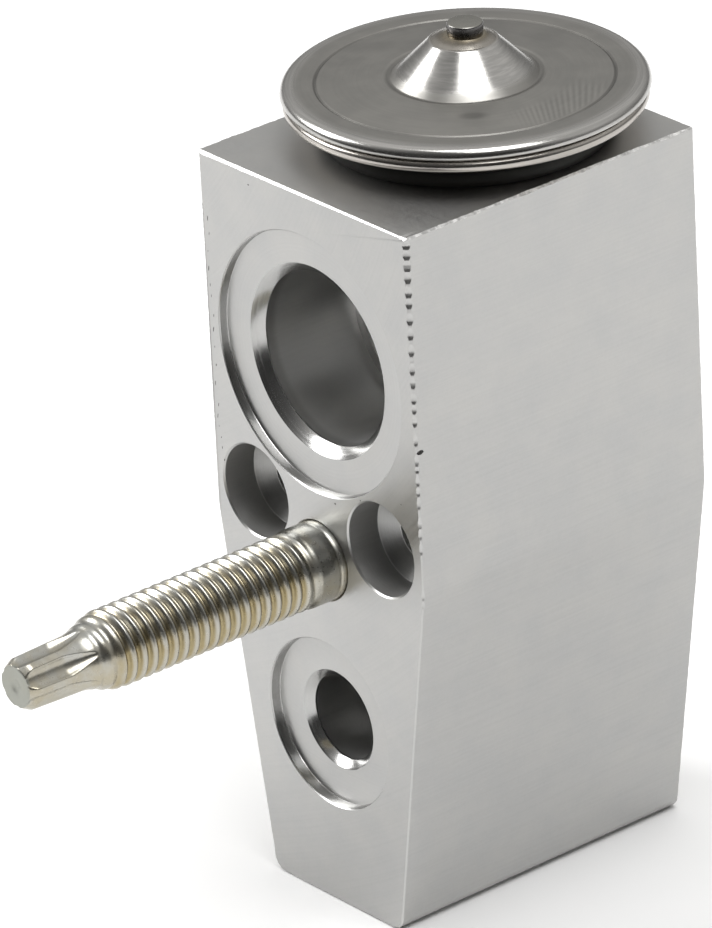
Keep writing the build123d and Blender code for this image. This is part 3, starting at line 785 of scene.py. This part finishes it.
# Head: rolled upper cover with its cone, and lower cover with its neck
upper = turned("upper_shell", rounded(
    [(14.9, UPPER_RIM), (17.6, UPPER_RIM), (17.6, COVER_TOP), (14.46, COVER_TOP),
     (SCRIBED_RADIUS, COVER_TOP - 0.12), (14.04, COVER_TOP), (7.75, CONE_FOOT),
     (7.15, CONE_FOOT - 0.2), (3.3, CONE_TOP), (1.2, CONE_TOP), (1.2, CONE_TOP - 1.1),
     (1.82, CONE_TOP - 1.1), (5.51, UPPER_RIM + 0.575), (13.9, UPPER_RIM + 0.25)],
    {1: 0.3, 2: 0.85, 3: 0.12, 5: 0.12, 6: 0.5, 7: 0.3, 8: 0.3}, 7.0,
), ON_AXIS, 320, 50.0)
lower = turned("lower_shell", rounded(
    [(10.3, NECK_FOOT), (11.95, NECK_FOOT), (11.95, COVER_FLOOR), (14.5, COVER_FLOOR),
     (15.5, LOWER_RIM), (17.4, LOWER_RIM), (17.4, SEAM), (14.9, SEAM),
     (13.9, COVER_FLOOR + 1.2), (10.3, COVER_FLOOR + 1.2)],
    {1: 0.4, 3: 0.6, 5: 0.58, 6: 0.56, 7: 0.3, 8: 0.5, 9: 0.3}, 7.0,
), ON_AXIS, 320, 50.0)
for piece, node, metal in ((upper, "upper_cover", sheet_metal), (lower, "lower_cover", lower_metal)):
    piece.data.materials.append(metal)
    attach(piece, "housing")
    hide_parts(node)

# Plug: its spigot, a collar of weld and a head that leans a little
plug_outline = [(0, -1.1), (1.15, -1.1), (1.15, 0.0), (3.12, 0.0), (2.75, 0.2), (2.4, 0.34), (2.1, 0.44),
                (1.94, 0.54), (1.72, 0.58), (1.72, 0.8), (1.75, 0.85), (1.75, 1.7), (0, 1.7)]
plug = turned("charge_plug", rounded(
    [(radius, CONE_TOP + rise) for radius, rise in plug_outline], {7: 0.08, 11: 0.2}, 15.0,
), ON_AXIS, 96, 50.0)
for corner in plug.data.vertices:
    lean = min(1.0, max(0.0, corner.co.z / MM - FOOT - CONE_TOP) / 0.6)
    corner.co.x += 0.13 * lean * MM
    corner.co.y += 0.16 * lean * MM
plug.data.materials.append(plug_steel())
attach(plug, "housing")
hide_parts("filling_plug")

# Stud: one grid round and along it, with a true helical thread and the fluted drive
SIDES = 228
SHANK_RADIUS = 4.0
BURIED_RADIUS = 3.5
GROOVE_CENTRE = 0.625
GROOVE_REACH = 0.275
GROOVE_DEPTH = 0.15
PITCH = 1.25
THREAD_DEPTH = 0.54
CREST = 3.9
FLARE_START = 25.8
FLARE_END = 30.5
DRIVE_RADIUS = 2.75
FLUTE_START = 28.8
FLUTE_RUN_OUT = 3.6
FLUTE_RADIUS = 1.3
FLUTE_CENTRE = 3.3
LOBE = math.pi / 3
TIP_LENGTH = 0.9
TIP_RADIUS = 2.1


def smooth(value, low, high):
    t = held((value - low) / (high - low))
    return t * t * (3 - 2 * t)


def thread_form(phase):
    """Height of a rolled thread from 0 at the root to 1 at the crest, over one pitch."""
    away = abs((phase % 1.0) - 0.5) * 2
    return 1.0 - smooth(away, 0.10, 0.97)


def stud_radius(angle, s):
    """The stud's radius at an angle and a distance from the block's face."""
    body = SHANK_RADIUS - 0.1 * smooth(s, 2.8, 3.4)
    from_groove = abs(s - GROOVE_CENTRE) / GROOVE_REACH
    if from_groove < 1:
        body -= GROOVE_DEPTH * (1 - from_groove)
    hollow = 1 - thread_form(s / PITCH - angle / (2 * math.pi))
    body -= THREAD_DEPTH * smooth(s, 2.9, 5.4) * hollow
    if s > FLARE_START:
        flare = CREST - (CREST - DRIVE_RADIUS) * smooth(s, FLARE_START, FLARE_END)
        flare -= 0.2 * max(0.0, s - FLARE_END) / 6.2
        body = min(body, flare - 0.16 * (1 - smooth(s, 28.2, 29.6)) * hollow)
    if s > STUD_REACH - TIP_LENGTH:
        body = min(body, TIP_RADIUS + 0.6 * (STUD_REACH - s))
    if s > FLUTE_START:
        cutter_radius = FLUTE_RADIUS * math.sqrt(min(1.0, (s - FLUTE_START) / FLUTE_RUN_OUT))
        off = (angle % LOBE) - LOBE / 2
        across = FLUTE_CENTRE * math.sin(off)
        if abs(across) < cutter_radius:
            wall = FLUTE_CENTRE * math.cos(off) - math.sqrt(cutter_radius ** 2 - across ** 2)
            body = min(body, wall)
    return body


# Distances along the stud, finest over the thread, then the rings of its end face with the dimple
stations = [-STUD_ENGAGEMENT, -STUD_ENGAGEMENT + 0.4, -1.0, 0.0,
            0.34, 0.48, 0.625, 0.77, 0.91, 1.6, 2.4]
stations += [2.7 + 0.09 * k for k in range(round((29.7 - 2.7) / 0.09))]
stations += [29.7 + 0.16 * k for k in range(round((STUD_REACH - 29.7 - 0.9) / 0.16))]
stations += [STUD_REACH - 0.85, STUD_REACH - 0.6, STUD_REACH - 0.3, STUD_REACH - 0.06, STUD_REACH]
angles = [2 * math.pi * k / SIDES for k in range(SIDES)]
courses = [(s, [stud_radius(angle, s) for angle in angles]) for s in stations]
courses[0] = (stations[0], [BURIED_RADIUS] * SIDES)
for radius, drop in ((1.75, 0.0), (1.2, 0.0), (0.78, 0.0), (0.66, 0.04), (0.42, 0.13), (0.12, 0.17)):
    courses.append((STUD_REACH - drop, [radius] * SIDES))
bm = bmesh.new()
skin(bm, [
    [bm.verts.new((radius * math.cos(angle), FRONT - s, FOOT + STUD_HEIGHT + radius * math.sin(angle)))
     for angle, radius in zip(angles, radii)]
    for s, radii in courses
])
stud = mesh_object("threaded_stud", bm, 75.0)
stud.data.materials.append(stud_zinc())
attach(stud, "housing")
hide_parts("stud")

# Inner parts keep their solids
turned_metal = plain_metal("turned_aluminium", (0.46, 0.46, 0.455), (0.55, 0.55, 0.545), 0.28, 0.4)
bright_metal = plain_metal("bright_steel", (0.40, 0.40, 0.40), (0.51, 0.51, 0.50), 0.18, 0.28)
spring_metal = plain_metal("spring_steel", (0.26, 0.26, 0.27), (0.37, 0.37, 0.38), 0.25, 0.38)
for metal, names in (
    (sheet_metal, ("diaphragm",)),
    (turned_metal, ("diaphragm_support", "sensing_rod")),
    (bright_metal, ("push_rod", "valve_ball", "ball_holder", "adjusting_screw")),
    (spring_metal, ("seal_retainer", "damping_spring", "valve_spring")),
    (rubber(), ("rod_seal", "screw_seal", "head_seal")),
):
    for name in names:
        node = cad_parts[name]
        node.data.materials.clear()
        node.data.materials.append(metal)

# The floor is a table whose edge on the camera's side lies 300 mm off. The metal reflects a darker
# room beyond it, which a view itself sees pale.
TABLE_TURN = math.radians(28.0)
TABLE_EDGE = 300.0
TABLE_REACH = 9000.0
table_centre = Matrix.Translation((0, TABLE_REACH - TABLE_EDGE, FOOT - 0.02))
bm = bmesh.new()
bmesh.ops.create_grid(bm, x_segments=8, y_segments=8, size=TABLE_REACH,
                      matrix=Matrix.Rotation(TABLE_TURN, 4, "Z") @ table_centre)
floor = mesh_object("floor", bm, None)
floor.data.materials.append(floor_paint())


def softbox(name, direction, distance, width, height, radiance):
    """A rectangular lamp that faces the object from a direction, with its lengths in metres."""
    lamp = bpy.data.lights.new(name, "AREA")
    lamp.shape = "RECTANGLE"
    lamp.size = width
    lamp.size_y = height
    lamp.energy = radiance * math.pi * width * height
    holder = bpy.data.objects.new(name, lamp)
    way = Vector(direction).normalized()
    holder.location = way * distance
    holder.rotation_euler = way.to_track_quat("Z", "Y").to_euler()
    bpy.context.scene.collection.objects.link(holder)


softbox("key_left", (-0.71, -0.46, 0.54), 2.4, 1.15, 1.2, 8.5)
softbox("top_light", (0.27, -0.03, 0.96), 2.4, 1.3, 1.8, 5.1)

# The room: dark behind the camera and near the floor, pale to a view
world = bpy.data.worlds.new("studio")
bpy.context.scene.world = world
world.use_nodes = True
room = Nodes(world.node_tree)
background = room.tree.nodes["Background"]
to_x, to_y, to_z = room.parts(room.add("TexCoord").outputs["Generated"])
to_camera = room.plus(room.times(to_x, 0.62), room.times(to_y, -0.78))
level = room.ramp(to_camera, -0.2, 0.75, 0.68, 0.10)
level = room.times(level, room.ramp(to_z, 0.1, 0.65, 0.42, 1.05))
seen = room.add("LightPath").outputs["Is Camera Ray"]
room.put(background.inputs["Strength"], room.mix_value(seen, level, 1.0))
background.inputs["Color"].default_value = (1.0, 0.99, 0.97, 1)

# Camera, at the angle of the photograph
CAMERA_TURN = math.radians(50.979)
CAMERA_RISE = math.radians(25.438)
CAMERA_ROLL = math.radians(-3.069)
CAMERA_SHIFT = (10.247, -3.269)
CAMERA_DISTANCE = 831.2
CAMERA_TARGET = Vector((0, -18.0, 37.0 + FOOT))
across = Vector((math.cos(CAMERA_TURN), math.sin(CAMERA_TURN), 0))
back = Vector((math.sin(CAMERA_TURN) * math.cos(CAMERA_RISE),
               -math.cos(CAMERA_TURN) * math.cos(CAMERA_RISE), math.sin(CAMERA_RISE)))
above = back.cross(across)
right = math.cos(CAMERA_ROLL) * across + math.sin(CAMERA_ROLL) * above
upward = -math.sin(CAMERA_ROLL) * across + math.cos(CAMERA_ROLL) * above
spot = CAMERA_TARGET + (-CAMERA_SHIFT[0] * right - CAMERA_SHIFT[1] * upward + CAMERA_DISTANCE * back)
lens = bpy.data.cameras.new("camera")
lens.lens = 334.8
lens.sensor_width = 36.0
lens.clip_start = 0.05
lens.clip_end = 30.0
camera = bpy.data.objects.new("camera", lens)
bpy.context.scene.collection.objects.link(camera)
axes = Matrix((right, upward, back)).transposed().to_4x4()
camera.matrix_world = Matrix.Translation(spot * MM) @ axes
bpy.context.scene.camera = camera
bpy.context.scene.view_settings.view_transform = "Standard"
